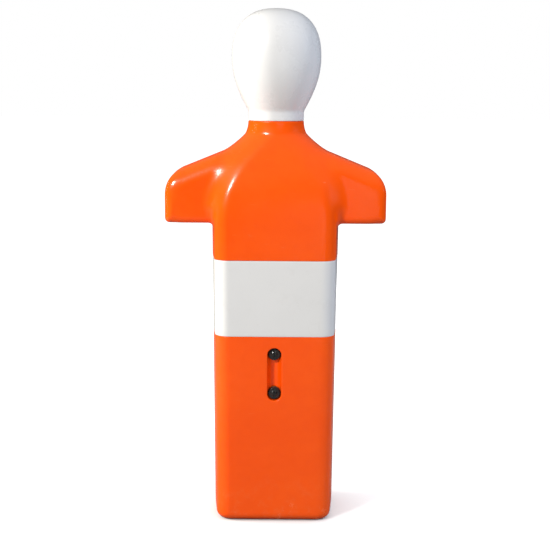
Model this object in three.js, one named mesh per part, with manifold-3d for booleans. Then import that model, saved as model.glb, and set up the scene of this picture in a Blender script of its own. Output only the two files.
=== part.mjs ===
// Hollow training manikin for water rescue, in millimetres.
// The origin is on the floor under the centre of the base, +Z is up, and the front faces -Y.
// An orange moulded torso carries a white head and a white chest band. Two screw plugs in a recess
// low on the front let water in and air out.

import * as THREE from 'three';
import { LoftGeometry } from 'three/addons/geometries/LoftGeometry.js';
import { mergeVertices } from 'three/addons/utils/BufferGeometryUtils.js';
import Module from 'manifold-3d';

const wasm = await Module();
wasm.setup();

// ---- Driving dimensions -------------------------------------------------------------------

// Torso: a slab with drafted sides that runs up into a round neck.
const baseHalfWidth = 119; // at the parting line, half way back
const chestHalfWidth = 125;
const baseHalfDepth = 88;
const chestHalfDepth = 92;
const cornerRadius = 30; // upright corners, seen from above
const sideDraft = THREE.MathUtils.degToRad(5.5); // the sides lean in from the parting line
const baseEdgeRadius = 16;
const armUndersideHeight = 590;
const shoulderRise = 196; // from the underside of the arms to the seam with the head
const shoulderReach = 0.88; // share of that rise over which the chest turns into the neck
const shoulderFullness = 2.4; // higher keeps the chest's width further up
const shoulderEase = 1.25; // higher runs more softly into the neck
const neckRadius = 54;
const wall = 4;

// Arm stumps: one bar across the shoulders, rounded at both tips.
const armHalfSpan = 214.5;
const armHalfDepth = 60;
const shoulderDrop = THREE.MathUtils.degToRad(22.2); // slope of the shoulder line
const shoulderLineDip = 17; // from the seam down to where that line would cross the axis
const armTipRadius = 55; // seen from the front, between the shoulder line and the tip
const armLowerEdgeRadius = 9; // seen from the front
const armLowerRoundRadius = 12; // seen from the end
const armUpperEdgeRadius = 34;
const armTipEdgeRadius = 18;
const trapeziusRadius = 55; // concave sweep from the shoulder line up the neck
const steepestSweep = 0.98; // share of that radius where the sweep stops climbing, inside the neck
const sweepStations = [0, 0.09, 0.255, 0.62]; // sections along it, in shares of that radius
const trapeziusHalfDepth = 42;
const trapeziusSpan = 56; // from the neck to where the arms have their full depth

// Head: a smooth egg on a short sleeve that fits over the spigot.
const headHeight = 214;
const headRadius = 86.5;
const headWall = 4;
const headWidest = 0.56; // share of the head's height at which it is widest
const jawLine = [ // from the sleeve to the widest part: [share of the widening, share of the height]
  [0, 0.075],
  [0.108, 0.115],
  [0.554, 0.255],
  [0.831, 0.375],
  [1, headWidest],
];
const domeRoundness = 2 / 2.45; // 1 would make the crown an ellipse, and less makes it fuller
const spigotRise = 24;
const spigotWall = 5;
const spigotClearance = 0.5;
const sealSectionRadius = 1.3;
const sealHeight = 12; // above the seam

// Chest band: a sleeve in a shallow seat.
const bandBottom = 374;
const bandHeight = 148;
const bandThickness = 1.2;

// Recess with the two screw plugs.
const recessCentreHeight = 299;
const plugSpacing = 77.5;
const recessMargin = 2.3; // round each plug's head
const recessDepth = 13;
const troughDepth = 1.5; // of the trough's axis below the front face
const plugHeadOverhang = 2.2; // past the shank, over the O-ring
const plugHeadHeight = 7;
const plugHeadEdge = 1.2;
const plugShankRadius = 9;
const plugShankLength = 14.4;
const coinSlotWidth = 3;
const coinSlotDepth = 3;
const ringSectionRadius = 1.4;
const ringClearance = 0.05; // between the O-ring and the bore of the bush
const bushWall = 2.9;
const bushLength = 15;
const bushFlangeRise = 2.3;
const bushFlangeThickness = 3;
const bushFlangeBack = 7; // from the front of the bush
const bossWall = 4.5; // plastic round the bush

const gap = 0.3; // between pieces that touch
const overshoot = 5; // how far a cutter runs past what it cuts
const shortestRun = 0.2; // straight run kept in a section even where it is round
const roundSegments = 40; // facets round the neck and the head
const plugSegments = 24; // facets round the recess, the plugs and what holds them
const outerCornerSteps = 5; // facets in each rounded corner of the torso and the arms, outside
const innerCornerSteps = 3; // the same inside
const baseEdgeSteps = 4;
const shoulderSteps = 12;
const outerHeadSteps = 9; // facets from the sleeve to the widest part, and again to the crown
const innerHeadSteps = 6;
const ringSteps = 6; // facets round the section of a rubber ring

// ---- Dimensions that follow ----------------------------------------------------------------

const seamHeight = armUndersideHeight + shoulderRise;
const shoulderLineRise = shoulderRise - shoulderLineDip; // above the underside of the arms
const sleeveRadius = neckRadius - headWall;
const spigotRadius = sleeveRadius - spigotClearance;
const bandTop = bandBottom + bandHeight;
const plugHeadRadius = plugShankRadius + plugHeadOverhang;
const recessRadius = plugHeadRadius + recessMargin;
const bushBore = plugShankRadius + gap;
const bushRadius = bushBore + bushWall;
const portRadius = bushRadius + gap;
const bossRadius = bushRadius + bushFlangeRise + bossWall;
const frontAtRecess = -halfDepthAt(recessCentreHeight - plugSpacing / 2);
const recessFloor = frontAtRecess + recessDepth;
const ringRadius = bushBore + ringSectionRadius + ringClearance;

// ---- Colours -------------------------------------------------------------------------------

const orangePlastic = new THREE.MeshStandardMaterial({ color: 0xf85a12, roughness: 0.32, metalness: 0 });
const whitePlastic = new THREE.MeshStandardMaterial({ color: 0xf2f2f0, roughness: 0.35, metalness: 0 });
const whiteFilm = new THREE.MeshStandardMaterial({ color: 0xf4f4f2, roughness: 0.3, metalness: 0 });
const blackPlastic = new THREE.MeshStandardMaterial({ color: 0x151515, roughness: 0.45, metalness: 0 });
const blackRubber = new THREE.MeshStandardMaterial({ color: 0x202020, roughness: 0.8, metalness: 0 });
const brass = new THREE.MeshStandardMaterial({ color: 0xb5925a, roughness: 0.4, metalness: 1 });

// ---- Solids --------------------------------------------------------------------------------

// A closed geometry as a solid that can be joined and cut.
function solidOf(geometry) {
  const bare = new THREE.BufferGeometry();
  bare.setAttribute('position', geometry.getAttribute('position'));
  bare.setIndex(geometry.getIndex());
  const merged = mergeVertices(bare, 1e-4);
  return new wasm.Manifold(new wasm.Mesh({
    numProp: 3,
    vertProperties: merged.attributes.position.array,
    triVerts: new Uint32Array(merged.index.array),
  }));
}

// The solid back as a geometry with flat facets.
function geometryOf(solid) {
  const mesh = solid.getMesh();
  const indexed = new THREE.BufferGeometry();
  indexed.setAttribute('position', new THREE.BufferAttribute(mesh.vertProperties, 3));
  indexed.setIndex(new THREE.BufferAttribute(mesh.triVerts, 1));
  const geometry = indexed.toNonIndexed();
  geometry.computeVertexNormals();
  return geometry;
}

// A body of revolution about Z from [radius, z] points that start and end on the axis or close
// on themselves, listed so that the material lies on their left.
function turned(profile, segments) {
  const points = profile.map(([radius, z]) => new THREE.Vector2(radius, z));
  return new THREE.LatheGeometry(points, segments).rotateX(Math.PI / 2);
}

// The same about an axis along Y, from [radius, distance in front of the recess floor] points,
// at one plug's height.
function turnedAtPlug(profile, segments, height) {
  const points = profile.map(([radius, out]) => new THREE.Vector2(radius, -out));
  return new THREE.LatheGeometry(points.reverse(), segments).translate(0, recessFloor, height);
}

// A plain cylinder along Y between two distances in front of the recess floor.
function cylinderAtPlug(radius, from, to, height) {
  return turnedAtPlug([[0, from], [radius, from], [radius, to], [0, to]], plugSegments, height);
}

function range(count) {
  return Array.from({ length: count }, (_, i) => i);
}

// How far an edge of the given radius has pulled in at a distance into the edge.
function edgeInset(radius, into) {
  const share = THREE.MathUtils.clamp(into / radius, 0, 1);
  return radius * (1 - Math.sqrt(1 - share * share));
}

// ---- Shape of the torso --------------------------------------------------------------------

// 1 on the chest, 0 on the neck, and a rounded shoulder between.
function chestShare(z) {
  const up = THREE.MathUtils.clamp((z - armUndersideHeight) / (shoulderReach * shoulderRise), 0, 1);
  return Math.pow(1 - Math.pow(up, shoulderFullness), shoulderEase);
}

function taper(base, chest, z) {
  return base + (chest - base) * Math.min(z / armUndersideHeight, 1);
}

function halfWidthAt(z) {
  return neckRadius + (taper(baseHalfWidth, chestHalfWidth, z) - neckRadius) * chestShare(z);
}

function halfDepthAt(z) {
  return neckRadius + (taper(baseHalfDepth, chestHalfDepth, z) - neckRadius) * chestShare(z);
}

// One level section of the torso, inset from its outer surface, as points counterclockwise
// seen from above. Four corner arcs, each with a point on the parting line or the centre line
// before it.
function torsoSection(z, inset, cornerSteps) {
  const share = chestShare(z);
  const draft = sideDraft * share;
  const halfWidth = halfWidthAt(z) - inset / Math.cos(draft);
  const halfDepth = halfDepthAt(z) - inset;
  const rounding = neckRadius + (cornerRadius - neckRadius) * share - inset;
  const radius = THREE.MathUtils.clamp(rounding, 1, halfDepth - shortestRun);
  const centreY = halfDepth - radius;
  const centreX = halfWidth - (radius + centreY * Math.sin(draft)) / Math.cos(draft);
  const quarter = [[halfWidth, 0]];
  for (const i of range(cornerSteps + 1)) {
    const angle = draft + (Math.PI / 2 - draft) * (i / cornerSteps);
    quarter.push([centreX + radius * Math.cos(angle), centreY + radius * Math.sin(angle)]);
  }
  quarter.push([0, halfDepth]);
  const half = quarter.concat(quarter.slice(0, -1).reverse().map(([x, y]) => [-x, y]));
  return half.concat(half.slice(1, -1).reverse().map(([x, y]) => [x, -y]));
}

function level(points, z) {
  return points.map(([x, y]) => new THREE.Vector3(x, y, z));
}

// The torso from its base to a given height, inset from its outer surface.
function torsoLoft(inset, top, cornerSteps) {
  const edge = Math.max(baseEdgeRadius - inset, 1);
  const sections = range(baseEdgeSteps + 1).map((i) => {
    const angle = (Math.PI / 2) * (i / baseEdgeSteps);
    const z = inset + edge * (1 - Math.cos(angle));
    return level(torsoSection(z, inset + edge * (1 - Math.sin(angle)), cornerSteps), z);
  });
  sections.push(level(torsoSection(armUndersideHeight, inset, cornerSteps), armUndersideHeight));
  for (const i of range(shoulderSteps)) {
    const z = armUndersideHeight + (top - armUndersideHeight) * ((i + 1) / shoulderSteps);
    sections.push(level(torsoSection(z, inset, cornerSteps), z));
  }
  return new LoftGeometry(sections, { capStart: true, capEnd: true });
}

// ---- Shape of the arm stumps ---------------------------------------------------------------

// Height of the shoulder line above the arms' underside at a distance from the axis: a concave
// sweep up the neck, a straight slope, and a round tip.
function shoulderRiseAt(x) {
  const slope = Math.tan(shoulderDrop);
  const tangent = Math.tan((Math.PI / 2 - shoulderDrop) / 2);
  const line = shoulderLineRise - slope * x;
  const sweepCentreX = neckRadius + trapeziusRadius;
  const sweepCentreZ = shoulderLineRise - slope * neckRadius + trapeziusRadius * tangent;
  const sweepEnd = sweepCentreX - trapeziusRadius * Math.sin(shoulderDrop);
  if (x < sweepEnd) {
    const across = Math.min(sweepCentreX - x, trapeziusRadius * steepestSweep);
    return sweepCentreZ - Math.sqrt(trapeziusRadius ** 2 - across ** 2);
  }
  const tipCentreX = armHalfSpan - armTipRadius;
  const tipCentreZ = shoulderLineRise - slope * armHalfSpan - armTipRadius * tangent;
  const tipStart = tipCentreX + armTipRadius * Math.sin(shoulderDrop);
  if (x > tipStart) {
    return tipCentreZ + Math.sqrt(armTipRadius ** 2 - (x - tipCentreX) ** 2);
  }
  return line;
}

// One upright section of the arms, inset from its outer surface, as points counterclockwise
// seen from +X.
function armSection(x, inset, cornerSteps) {
  const distance = Math.abs(x);
  const lower = armUndersideHeight + inset
    + edgeInset(armLowerEdgeRadius, distance - armHalfSpan + armLowerEdgeRadius);
  const upper = armUndersideHeight - inset + shoulderRiseAt(distance);
  const nearNeck = THREE.MathUtils.clamp(1 - (distance - neckRadius) / trapeziusSpan, 0, 1);
  const halfDepth = THREE.MathUtils.lerp(armHalfDepth, trapeziusHalfDepth, nearNeck) - inset
    - edgeInset(armTipEdgeRadius, distance - armHalfSpan + armTipEdgeRadius);
  const topRadius = THREE.MathUtils.lerp(armUpperEdgeRadius, trapeziusHalfDepth, nearNeck) - inset;
  const halfHeight = (upper - lower - shortestRun) / 2;
  const upperRadius = Math.min(topRadius, halfDepth - 1, halfHeight);
  const lowerRadius = Math.min(Math.max(armLowerRoundRadius - inset, 1), halfHeight);
  const corners = [
    [halfDepth - lowerRadius, lower + lowerRadius, lowerRadius, -Math.PI / 2],
    [halfDepth - upperRadius, upper - upperRadius, upperRadius, 0],
    [upperRadius - halfDepth, upper - upperRadius, upperRadius, Math.PI / 2],
    [lowerRadius - halfDepth, lower + lowerRadius, lowerRadius, Math.PI],
  ];
  return corners.flatMap(([y, z, radius, start]) => range(cornerSteps + 1).map((i) => {
    const angle = start + (Math.PI / 2) * (i / cornerSteps);
    return new THREE.Vector3(x, y + radius * Math.cos(angle), z + radius * Math.sin(angle));
  }));
}

function armLoft(inset, cornerSteps) {
  const tip = armHalfSpan - inset;
  const roundStart = armHalfSpan - armTipRadius;
  const inward = sweepStations.map((share) => neckRadius + share * trapeziusRadius);
  const sweepEnd = inward[inward.length - 1];
  const round = range(cornerSteps + 2).map((i) => {
    const angle = (Math.PI / 2) * ((i + 1) / (cornerSteps + 2));
    return roundStart + (tip - roundStart) * Math.sin(angle);
  });
  const right = [0, neckRadius / 2, ...inward, (sweepEnd + roundStart) / 2, roundStart, ...round];
  const stations = right.slice(1).reverse().map((x) => -x).concat(right);
  const sections = stations.map((x) => armSection(x, inset, cornerSteps));
  return new LoftGeometry(sections, { capStart: true, capEnd: true });
}

// ---- Torso shell ---------------------------------------------------------------------------

const plugHeights = [recessCentreHeight + plugSpacing / 2, recessCentreHeight - plugSpacing / 2];

// The recess: a round-bottomed trough between two flat-bottomed counterbores, or that shape
// grown by a wall.
function recessSolid(grow) {
  const front = recessDepth + overshoot - 2 * grow;
  const radius = recessRadius + grow;
  const trough = new THREE.CylinderGeometry(radius, radius, plugSpacing, plugSegments)
    .rotateX(Math.PI / 2)
    .translate(0, frontAtRecess + troughDepth, recessCentreHeight);
  let solid = solidOf(trough);
  for (const height of plugHeights) {
    solid = solid.add(solidOf(cylinderAtPlug(radius, -grow, front, height)));
  }
  return solid;
}

// The plastic that holds each bush, behind the recess.
function bossSolid(height) {
  return solidOf(cylinderAtPlug(bossRadius, -bushLength - gap, recessDepth - wall, height));
}

// The hole for a bush, with a groove for its flange.
function portSolid(height) {
  const hole = cylinderAtPlug(portRadius, -bushLength - overshoot, overshoot, height);
  const groove = cylinderAtPlug(
    portRadius + bushFlangeRise,
    -bushFlangeBack - bushFlangeThickness - gap,
    -bushFlangeBack + gap,
    height,
  );
  return solidOf(hole).add(solidOf(groove));
}

// The seat that the chest band lies in: what is between the torso's surface and the seat's.
function bandSeatSolid() {
  return solidOf(torsoSleeve(-overshoot, bandThickness + gap, bandBottom - gap, bandTop + gap));
}

// A sleeve round the torso between two insets and two heights.
function torsoSleeve(outerInset, innerInset, bottom, top) {
  const section = (z, inset) => level(torsoSection(z, inset, outerCornerSteps), z);
  return new LoftGeometry([
    section(bottom, outerInset),
    section(top, outerInset),
    section(top, innerInset),
    section(bottom, innerInset),
    section(bottom, outerInset),
  ]);
}

// The ring at the top of the neck that the head's sleeve fits over, with the seal's groove.
function spigotSolid() {
  const root = seamHeight - 3 * wall;
  const tip = seamHeight + spigotRise;
  const bore = spigotRadius - spigotWall;
  const grooveRadius = sleeveRadius - 2 * sealSectionRadius - 2 * gap;
  const grooveHalf = sealSectionRadius + gap;
  const grooveCentre = seamHeight + sealHeight;
  return solidOf(turned([
    [bore, root],
    [spigotRadius, root],
    [spigotRadius, grooveCentre - grooveHalf],
    [grooveRadius, grooveCentre - grooveHalf],
    [grooveRadius, grooveCentre + grooveHalf],
    [spigotRadius, grooveCentre + grooveHalf],
    [spigotRadius, tip],
    [bore, tip],
    [bore, root],
  ], roundSegments));
}

function torsoShell() {
  const outside = solidOf(torsoLoft(0, seamHeight, outerCornerSteps))
    .add(solidOf(armLoft(0, outerCornerSteps)));
  const innerTop = seamHeight - 2 * wall;
  let inside = solidOf(torsoLoft(wall, innerTop, innerCornerSteps))
    .add(solidOf(armLoft(wall, innerCornerSteps)));
  inside = inside.subtract(recessSolid(wall));
  for (const height of plugHeights) {
    inside = inside.subtract(bossSolid(height));
  }
  const bore = spigotRadius - spigotWall;
  const neckBore = turned([
    [0, innerTop - 2 * wall],
    [bore, innerTop - 2 * wall],
    [bore, seamHeight + overshoot],
    [0, seamHeight + overshoot],
  ], roundSegments);
  let shell = outside.subtract(inside).subtract(solidOf(neckBore)).add(spigotSolid());
  shell = shell.subtract(bandSeatSolid()).subtract(recessSolid(0));
  for (const height of plugHeights) {
    shell = shell.subtract(portSolid(height));
  }
  return geometryOf(shell);
}

// ---- Head, band and seal -------------------------------------------------------------------

// The head's outline from the rim of its sleeve to the crown, inset from its outer surface.
function headOutline(inset, steps) {
  const widest = headHeight * headWidest;
  const crown = headHeight - inset;
  const curve = new THREE.SplineCurve(jawLine.map(([widening, height]) => new THREE.Vector2(
    THREE.MathUtils.lerp(neckRadius, headRadius, widening) - inset,
    height * headHeight,
  )));
  const jaw = curve.getPoints(steps).map((point) => [point.x, point.y]);
  const dome = range(steps).map((i) => {
    const angle = (Math.PI / 2) * ((i + 1) / steps);
    const across = i === steps - 1 ? 0 : Math.cos(angle) ** domeRoundness;
    return [(headRadius - inset) * across, widest + (crown - widest) * Math.sin(angle) ** domeRoundness];
  });
  return [...jaw, ...dome];
}

function headShell() {
  const rim = gap;
  const outside = headOutline(0, outerHeadSteps);
  const inside = headOutline(headWall, innerHeadSteps).reverse();
  const profile = [...inside, [sleeveRadius, rim], [neckRadius, rim], ...outside];
  return turned(profile, roundSegments).translate(0, 0, seamHeight);
}

function chestBand() {
  return torsoSleeve(0, bandThickness, bandBottom, bandTop);
}

// A rubber ring of round section about the profile's axis, centred on one [radius, along] point.
function ringProfile(radius, along, sectionRadius) {
  return range(ringSteps + 1).map((i) => {
    const angle = 2 * Math.PI * ((i % ringSteps) / ringSteps);
    return [radius + sectionRadius * Math.cos(angle), along + sectionRadius * Math.sin(angle)];
  });
}

function neckSeal() {
  const radius = sleeveRadius - gap - sealSectionRadius;
  return turned(ringProfile(radius, seamHeight + sealHeight, sealSectionRadius), roundSegments);
}

// ---- Plugs ---------------------------------------------------------------------------------

function bush(height) {
  const flangeRadius = bushRadius + bushFlangeRise;
  const back = -bushLength;
  const flangeFront = -bushFlangeBack;
  const flangeBack = flangeFront - bushFlangeThickness;
  return turnedAtPlug([
    [bushBore, back],
    [bushRadius, back],
    [bushRadius, flangeBack],
    [flangeRadius, flangeBack],
    [flangeRadius, flangeFront],
    [bushRadius, flangeFront],
    [bushRadius, 0],
    [bushBore, 0],
    [bushBore, back],
  ], plugSegments, height);
}

function sealRing(height) {
  const profile = ringProfile(ringRadius, gap + ringSectionRadius, ringSectionRadius);
  return turnedAtPlug(profile, plugSegments, height);
}

function plug(height) {
  const seat = 2 * gap + 2 * ringSectionRadius;
  const face = seat + plugHeadHeight;
  const tip = seat - plugShankLength;
  const body = solidOf(turnedAtPlug([
    [0, tip],
    [plugShankRadius - plugHeadEdge, tip],
    [plugShankRadius, tip + plugHeadEdge],
    [plugShankRadius, seat],
    [plugHeadRadius, seat],
    [plugHeadRadius, face - plugHeadEdge],
    [plugHeadRadius - plugHeadEdge, face],
    [0, face],
  ], plugSegments, height));
  const slot = new THREE.BoxGeometry(coinSlotWidth, 2 * coinSlotDepth, 3 * plugHeadRadius)
    .translate(0, recessFloor - face, height);
  return geometryOf(body.subtract(solidOf(slot)));
}

// ---- Assembly ------------------------------------------------------------------------------

const manikin = new THREE.Group();

function addPiece(name, geometry, material) {
  const mesh = new THREE.Mesh(geometry, material);
  mesh.name = name;
  manikin.add(mesh);
}

addPiece('torso_shell', torsoShell(), orangePlastic);
addPiece('head_shell', headShell(), whitePlastic);
addPiece('chest_band', chestBand(), whiteFilm);
addPiece('neck_seal', neckSeal(), blackRubber);
['fill', 'vent'].forEach((use, i) => {
  addPiece(`${use}_bush`, bush(plugHeights[i]), brass);
  addPiece(`${use}_o_ring`, sealRing(plugHeights[i]), blackRubber);
  addPiece(`${use}_plug`, plug(plugHeights[i]), blackPlastic);
});

export default manikin;
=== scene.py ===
"""Looks of a hollow water rescue manikin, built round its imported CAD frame.

Sizes of the pieces are in millimetres in the CAD frame, +Z up and the front facing -Y, and become
metres where a mesh is made. Materials and the stage are in metres.
"""
import math

import bpy
import numpy as np
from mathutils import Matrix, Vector


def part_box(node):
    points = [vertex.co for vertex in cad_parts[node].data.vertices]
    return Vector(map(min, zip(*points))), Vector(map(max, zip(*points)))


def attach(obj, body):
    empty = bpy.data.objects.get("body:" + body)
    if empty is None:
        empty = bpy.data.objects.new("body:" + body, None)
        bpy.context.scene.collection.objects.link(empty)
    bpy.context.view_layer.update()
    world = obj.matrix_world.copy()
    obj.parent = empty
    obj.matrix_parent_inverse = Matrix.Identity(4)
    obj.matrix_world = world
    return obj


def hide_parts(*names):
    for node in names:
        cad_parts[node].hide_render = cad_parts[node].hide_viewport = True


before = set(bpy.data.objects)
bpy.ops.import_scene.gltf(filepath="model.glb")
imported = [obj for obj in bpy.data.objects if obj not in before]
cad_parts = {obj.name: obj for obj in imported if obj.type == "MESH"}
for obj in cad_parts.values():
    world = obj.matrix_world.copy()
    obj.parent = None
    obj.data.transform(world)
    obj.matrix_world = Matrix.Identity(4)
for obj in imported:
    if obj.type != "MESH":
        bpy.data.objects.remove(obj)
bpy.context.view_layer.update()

MM = 0.001


def node_span(node):
    """Lowest and highest corner of a CAD node, in millimetres."""
    return tuple(np.array(corner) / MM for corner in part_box(node))


def middle_height(node):
    """Height of the middle of a CAD node, in millimetres."""
    low, high = node_span(node)
    return (low[2] + high[2]) / 2


# ---- Sizes from the frame -------------------------------------------------------------------

TORSO_HIGH = node_span("torso_shell")[1]
HEAD_LOW, HEAD_HIGH = node_span("head_shell")
BAND_LOW, BAND_HIGH = node_span("chest_band")
SEAL_LOW, SEAL_HIGH = node_span("neck_seal")
PLUG_LOW, PLUG_HIGH = node_span("fill_plug")
BUSH_LOW, BUSH_HIGH = node_span("fill_bush")
RING_LOW, RING_HIGH = node_span("fill_o_ring")
PLUG_HEIGHT = {use: middle_height(f"{use}_plug") for use in ("fill", "vent")}

GAP = 0.3  # between pieces that fit together
SEAM = HEAD_LOW[2] - GAP
SPIGOT_TOP = TORSO_HIGH[2]
ARM_HALF_SPAN = TORSO_HIGH[0]
CHEST_HALF_DEPTH = TORSO_HIGH[1]
HEAD_RADIUS = HEAD_HIGH[0]
HEAD_HEIGHT = HEAD_HIGH[2] - SEAM
RECESS_FLOOR = BUSH_LOW[1]

# ---- Torso sizes ----------------------------------------------------------------------------

UNDERARM = 590.0
BASE_HALF_WIDTH = 119.0
CHEST_HALF_WIDTH = 125.0
BASE_HALF_DEPTH = 88.0
CORNER_RADIUS = 30.0
SIDE_DRAFT = math.radians(5.5)
CREST_ROUNDING = 6.0  # of the ridge where the drafted sides meet
LEAST_CREST = 1e-3
LEAST_RADIUS = 1.0
LEAST_FLAT = 0.2  # left on the side beside a corner
BASE_EDGE = 16.0
NECK_RADIUS = 54.0
SHOULDER_REACH = 0.88  # share of the rise to the seam over which the chest turns into the neck
SHOULDER_FULLNESS = 2.4  # how long the chest stays full over that rise
SHOULDER_EASE = 1.25  # how softly it then runs into the neck

ARM_HALF_DEPTH = 60.0
SHOULDER_DROP = math.radians(22.2)
SHOULDER_RISE = 179.0
ARM_TIP_RADIUS = 55.0
ARM_LOWER_EDGE = 9.0
ARM_UPPER_ROUNDING = 34.0
ARM_LOWER_ROUNDING = 12.0
ARM_ROUNDING_START = 14.0  # above the underarm, where the lower rounding starts to widen
ARM_ROUNDING_END = 60.0  # and where it has become the upper one
ARM_TIP_ROUNDING = 18.0
ARM_TIP_START = 15.0  # past the centre of the tip's curve, where the tip's rounding starts
TRAPEZIUS_HALF_DEPTH = 42.0
TRAPEZIUS_SPAN = 56.0
TRAPEZIUS_BLEND = 10.0  # added at both ends of that span
TRAPEZIUS_FLAT = 1.0
UNDERARM_FILLET = 10.0
ARM_FILLET = 27.0
ARM_FILLET_END = 40.0  # above the underarm, where the fillet has its full radius
NECK_FILLET = 34.0
NECK_FILLET_SPAN = 120.0  # from the axis, where the arm's fillet takes over
NECK_FILLET_START = 60.0  # above the underarm
NECK_FILLET_END = 120.0

RECESS_RADIUS = 13.5
TROUGH_AXIS_Y = -88.26
RECESS_LIP = 1.6
PORT_RADIUS = 12.5
PORT_DEPTH = 46.0
BAND_SEAT = 1.5
SEAT_LIP = 0.5
SEAM_EDGE = 1.2
SPIGOT_RADIUS = 49.5
SPIGOT_EDGE = 1.0
SPIGOT_ROOT = 20.0  # below the seam
SEAL_GROOVE_DEPTH = 2.7
SEAL_GROOVE_HALF = 1.6
PARTING_HEIGHT = 0.35  # raised line left by the mould
PARTING_WIDTH = 1.0

# ---- Plug and bush sizes --------------------------------------------------------------------
# Plugs and bushes are built about their own Z axis, which points out of the recess from its floor.

HEAD_SEAT = RECESS_FLOOR - RING_LOW[1] + GAP
HEAD_FACE = RECESS_FLOOR - PLUG_LOW[1]
SHANK_TIP = RECESS_FLOOR - PLUG_HIGH[1]
PLUG_RADIUS = PLUG_HIGH[0]
PLUG_RIM_ROUNDING = 1.3
PLUG_SEAT_EDGE = 0.5
RIM_DROP = 2.4  # from the top of the domed button down to the plug's rim
BUTTON_RADIUS = 6.8
BUTTON_EDGE = 0.6
BUTTON_ROOT = 4.0  # below its top, inside the head
BUTTON_FILLET = 0.5
DOME_RADIUS = 10.0
SLOT_HALF_WIDTH = 1.5
SLOT_DEPTH = 3.4
SLOT_EDGE = 0.35
SHANK_RADIUS = 9.0
SHANK_TIP_ROUNDING = 1.4
SHANK_ROOT = 1.0  # above the seat, inside the head
SHANK_FILLET = 0.3
UNDERCUT_DEPTH = 0.8
UNDERCUT_MIDDLE = 1.2  # below the seat
UNDERCUT_HALF = 1.3
UNDERCUT_START = 2.2  # below the seat, where the thread stops
THREAD_PITCH = 2.0
THREAD_DEPTH = 0.75
THREAD_LEAD = 1.2  # from the tip to where the thread is at its full depth
THREAD_RUNOUT = 0.2  # beyond the tip

BUSH_RADIUS = 12.2
BUSH_LENGTH = BUSH_HIGH[1] - BUSH_LOW[1]
BUSH_BORE = 9.3
BUSH_EDGE = 0.4
BUSH_CHAMFER = 1.0
FLANGE_RADIUS = BUSH_HIGH[0]
FLANGE_RISE = 2.3  # from the barrel
FLANGE_SETBACK = 8.5  # of its middle from the recess floor
FLANGE_HALF = 1.5
FLANGE_EDGE = 0.3


# ---- Distance fields ------------------------------------------------------------------------
# Each field is negative inside the material. Arguments are arrays of x, y and z.

def ease(value, start, end):
    """0 before start, 1 after end, and smooth between."""
    share = np.clip((value - start) / (end - start), 0, 1)
    return share * share * (3 - 2 * share)


def meet(a, b, radius):
    """What is inside both, with the outer edge rounded."""
    over_a, over_b = a + radius, b + radius
    corner = np.hypot(np.maximum(over_a, 0), np.maximum(over_b, 0))
    return np.minimum(np.maximum(over_a, over_b), 0) + corner - radius


def join(a, b, radius):
    """What is inside either, with the inner corner filled."""
    return -meet(-a, -b, radius)


def chest_share(z):
    """1 up to the underarm, falling to 0 where the chest has become the neck."""
    rise = np.clip((z - UNDERARM) / (SHOULDER_REACH * (SEAM - UNDERARM)), 0, 1)
    return (1 - rise ** SHOULDER_FULLNESS) ** SHOULDER_EASE


def taper(base, chest, z):
    """A size that changes evenly from the base to the underarm."""
    return base + (chest - base) * np.clip(z / UNDERARM, 0, 1)


def slab(x, y, z):
    """The drafted slab of the torso and its round neck, without the ends."""
    share = chest_share(z)
    draft = SIDE_DRAFT * share
    width = NECK_RADIUS + (taper(BASE_HALF_WIDTH, CHEST_HALF_WIDTH, z) - NECK_RADIUS) * share
    depth = NECK_RADIUS + (taper(BASE_HALF_DEPTH, CHEST_HALF_DEPTH, z) - NECK_RADIUS) * share
    radius = NECK_RADIUS + (CORNER_RADIUS - NECK_RADIUS) * share
    radius = np.clip(radius, LEAST_RADIUS, depth - LEAST_FLAT)
    centre_y = depth - radius
    centre_x = width - (radius + centre_y * np.sin(draft)) / np.cos(draft)
    across = np.abs(x)
    crest = CREST_ROUNDING * share + LEAST_CREST
    along = np.sqrt(y * y + crest * crest)
    side = (across - width) * np.cos(draft) + along * np.sin(draft)
    front = np.abs(y) - depth
    off_x, off_y = across - centre_x, np.abs(y) - centre_y
    in_corner = (off_x > 0) & (off_y * np.cos(draft) - off_x * np.sin(draft) > 0)
    return np.where(in_corner, np.hypot(off_x, off_y) - radius, np.maximum(side, front))


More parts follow.
